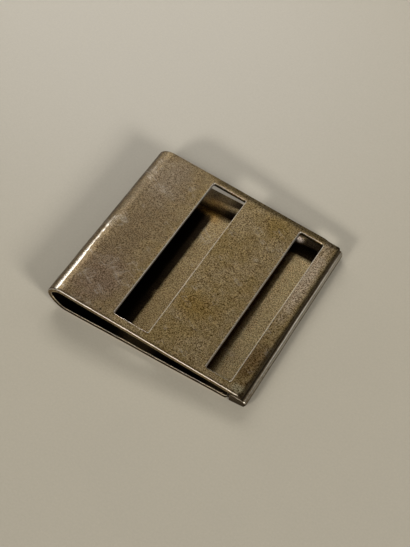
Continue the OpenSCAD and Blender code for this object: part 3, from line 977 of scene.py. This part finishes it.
# A bead of solder: a rectangle in X and Z with hollow free faces, carried along Y, whose free faces
# wander in and out with slow waves. sides says which of left, right, bottom and top are free, and
# slope how much the bead rises for each mm of x.
def solderBead(name, low, high, slope, sides, s, material):
    corners = np.array([(low[0], low[2]), (high[0], low[2]), (high[0], high[2]), (low[0], high[2])])
    outline = evenOutline(corners, s["outlineStep"])
    middle, half = (outline.min(0) + outline.max(0)) / 2, np.ptp(outline, axis=0) / 2
    free = {"left": (0, -1), "right": (0, 1), "bottom": (1, -1), "top": (1, 1)}

    def shape(points):
        p, y = points.copy(), points[:, 1]
        flat = [(p[:, 0] - middle[0]) / half[0], (p[:, 2] - middle[1]) / half[1]]
        for side in sides:
            axis, sign = free[side]
            outwards = easeIn(flat[axis] * sign, *s["freePart"])
            wide = half[1 - axis] > s["flatUnder"]
            hollow = s["meniscus"] * (1 - flat[1 - axis] ** 2) if wide else 0.0
            wander = s["wander"] * slowWaves(y, y * 0.3, s["waveLength"], count=5, phase=0.4 + axis)
            p[:, 2 * axis] -= sign * outwards * (hollow + (wander + s["wander"]) / 2)
        p[:, 2] += slope * (p[:, 0] - middle[0])
        return p

    def noWear(points, toEnd):
        return np.zeros((2, len(points)))

    stations = evenStations(low[1], high[1], s["step"])
    return roundedPrism(outline, stations, s["endRound"], name, material, shape, noWear)


print("making the solder seams")
solderMaterial = solderMetal(solderLook)
underFilm = underTop((filmLow[0] + filmHigh[0]) / 2, sleeve)
upperLow = (filmLow[0], filmLow[1], underFilm - bar["film"] - solder["embed"])
upperHigh = (filmHigh[0], filmHigh[1], underFilm + solder["embed"])
upperSeam = solderBead("upperSolderSeam", upperLow, upperHigh, topSlope(sleeve), ("right",),
                       solder, solderMaterial)
sideways = np.array([solder["embed"], 0, 0])
lowerSeam = solderBead("lowerSolderSeam", gapLow - sideways, gapHigh + sideways, 0.0, ("bottom", "top"),
                       solder, solderMaterial)
for seam, node in ((upperSeam, "upper_solder_seam"), (lowerSeam, "lower_solder_seam")):
    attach(seam, "root")
    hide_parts(node)


floorLook = {
    "colour": (0.435, 0.396, 0.318, 1), "spot": (0.405, 0.37, 0.30, 1), "pale": (0.49, 0.455, 0.39, 1),
    "rough": 0.6, "specular": 0.25,
    "cloud": {"Size": 26.0, "From": 0.3, "To": 0.75}, "cloudShare": 0.3,
    "fleck": {"Size": 0.5}, "fleckShare": 0.03,
    # painted light: a paler pool towards the back left, where more light falls
    "floorLightPool": {"Centre": (-60, 75, 0), "Size": (130, 130, 50), "Ragged": 0.1},
    "half": 4000.0,                 # half the length of a side
    "drop": 0.06,                   # how far it lies below the sleeve
}


# Painted table top, matte, with a faint cloudiness and a painted pool of light towards the back left.
def tableTop(look):
    material, tree, shader, place = startMaterial("tableTop")
    cloud = placeGroup(tree, tarnishCloud, Position=place, **look["cloud"])["Mask"]
    fleck = placeGroup(tree, silverGrain, Position=place, **look["fleck"])["Tone"]
    colour = layOver(tree, look["colour"], cloud, look["cloudShare"], look["spot"])
    pale = placeGroup(tree, softSpot, Position=place, **look["floorLightPool"])["Mask"]
    colour = mixColour(tree, pale, colour, look["pale"])
    flecked = maths(tree, "ADD", 1.0, maths(tree, "MULTIPLY", fleck, look["fleckShare"]))
    put(tree, shader.inputs["Base Color"], vectorMaths(tree, "MULTIPLY", colour, flecked))
    shader.inputs["Roughness"].default_value = look["rough"]
    shader.inputs["Specular IOR Level"].default_value = look["specular"]
    return material


print("laying the floor")
floorPoints = floorLook["half"] * np.array([(-1, -1, 0), (1, -1, 0), (1, 1, 0), (-1, 1, 0)])
floorPoints[:, 2] = -floorLook["drop"]
floorPiece = makePiece("tableFloor", floorPoints, [np.array([[0, 1, 2, 3]])], tableTop(floorLook))


# Unit vector towards an azimuth and an elevation in degrees; azimuth 0 is +X and 90 is +Y.
def towards(azimuth, elevation):
    a, e = math.radians(azimuth), math.radians(elevation)
    return Vector((math.cos(a) * math.cos(e), math.sin(a) * math.cos(e), math.sin(e)))


# Six soft lamps round the table, low as in a room. Sizes and distances are in mm. Share is the part of
# the floor's light that a lamp gives, and its watts follow from it: pi^2 distance^2 share / sin(elevation).
lamps = {
    "rightLamp": {"azimuth": -24, "elevation": 23, "distance": 1600, "size": (480, 330), "share": 0.33},
    "frontLamp": {"azimuth": -104, "elevation": 22.7, "distance": 1600, "size": (420, 170), "share": 0.28},
    "leftLamp": {"azimuth": 148, "elevation": 21.5, "distance": 520, "size": (150, 56), "share": 0.019},
    "sideLamp": {"azimuth": 135, "elevation": 33, "distance": 520, "size": (240, 170), "share": 0.21},
    "edgeLamp": {"azimuth": 52, "elevation": 38, "distance": 520, "size": (280, 280), "share": 0.06},
    "backLamp": {"azimuth": 108, "elevation": 34.5, "distance": 520, "size": (62, 62), "share": 0.055},
}
lampColour = (1.0, 0.985, 0.95)
worldLight = {"colour": (1.0, 0.96, 0.9, 1), "ambient": 0.035, "seen": (0.62, 0.58, 0.50, 1), "glossy": 0.03}


# Hangs each lamp at its place, facing the middle of the table.
def hangLamps():
    for name, lamp in lamps.items():
        light = bpy.data.lights.new(name, "AREA")
        light.shape = "RECTANGLE"
        light.size, light.size_y = (side * mm for side in lamp["size"])
        far = lamp["distance"] * mm
        light.energy = math.pi ** 2 * far ** 2 * lamp["share"] / math.sin(math.radians(lamp["elevation"]))
        light.color = lampColour
        holder = bpy.data.objects.new(name, light)
        bpy.context.scene.collection.objects.link(holder)
        direction = towards(lamp["azimuth"], lamp["elevation"])
        holder.location = direction * far
        holder.rotation_euler = direction.to_track_quat("Z", "Y").to_euler()


# The world: a little even light for matte surfaces, a plain pale tone where the camera sees it.
def makeWorld():
    world = bpy.data.worlds.new("room")
    world.use_nodes = True
    bpy.context.scene.world = world
    tree = world.node_tree
    tree.nodes.clear()
    path = tree.nodes.new("ShaderNodeLightPath")
    strength = mixValue(tree, path.outputs["Is Glossy Ray"], worldLight["ambient"], worldLight["glossy"])
    strength = mixValue(tree, path.outputs["Is Camera Ray"], strength, 1.0)
    colour = mixColour(tree, path.outputs["Is Camera Ray"], worldLight["colour"], worldLight["seen"])
    background = tree.nodes.new("ShaderNodeBackground")
    put(tree, background.inputs["Color"], colour)
    put(tree, background.inputs["Strength"], strength)
    output = tree.nodes.new("ShaderNodeOutputWorld")
    tree.links.new(background.outputs[0], output.inputs["Surface"])


cameraPlace = {
    "target": (0.94, 0.30, 3.0),    # the point at the middle of the picture, mm
    "azimuth": 110.91,              # where the camera looks, from +X towards +Y
    "elevation": 52.86,             # how steeply it looks down
    "distance": 367.5,
    "roll": 10.9,
    "lens": 98.7, "sensor": 36.0,
    "clip": (0.01, 50.0),           # nearest and farthest distance that it sees, m
}


# Puts the camera at its distance behind the target, level, then turned by its roll.
def placeCamera(c):
    data = bpy.data.cameras.new("camera")
    data.lens, data.sensor_width, data.sensor_fit = c["lens"], c["sensor"], "AUTO"
    data.clip_start, data.clip_end = c["clip"]
    holder = bpy.data.objects.new("camera", data)
    bpy.context.scene.collection.objects.link(holder)
    back = -towards(c["azimuth"], -c["elevation"])
    level = Vector((0, 0, 1)).cross(back).normalized()
    upright = back.cross(level)
    turn = math.radians(c["roll"])
    right = level * math.cos(turn) + upright * math.sin(turn)
    up = back.cross(right)
    axes = Matrix((right, up, back)).transposed().to_4x4()
    axes.translation = Vector(c["target"]) * mm + back * c["distance"] * mm
    holder.matrix_world = axes
    bpy.context.scene.camera = holder


print("lamps, world and camera")
hangLamps()
makeWorld()
placeCamera(cameraPlace)
bpy.context.scene.view_settings.view_transform = "Standard"
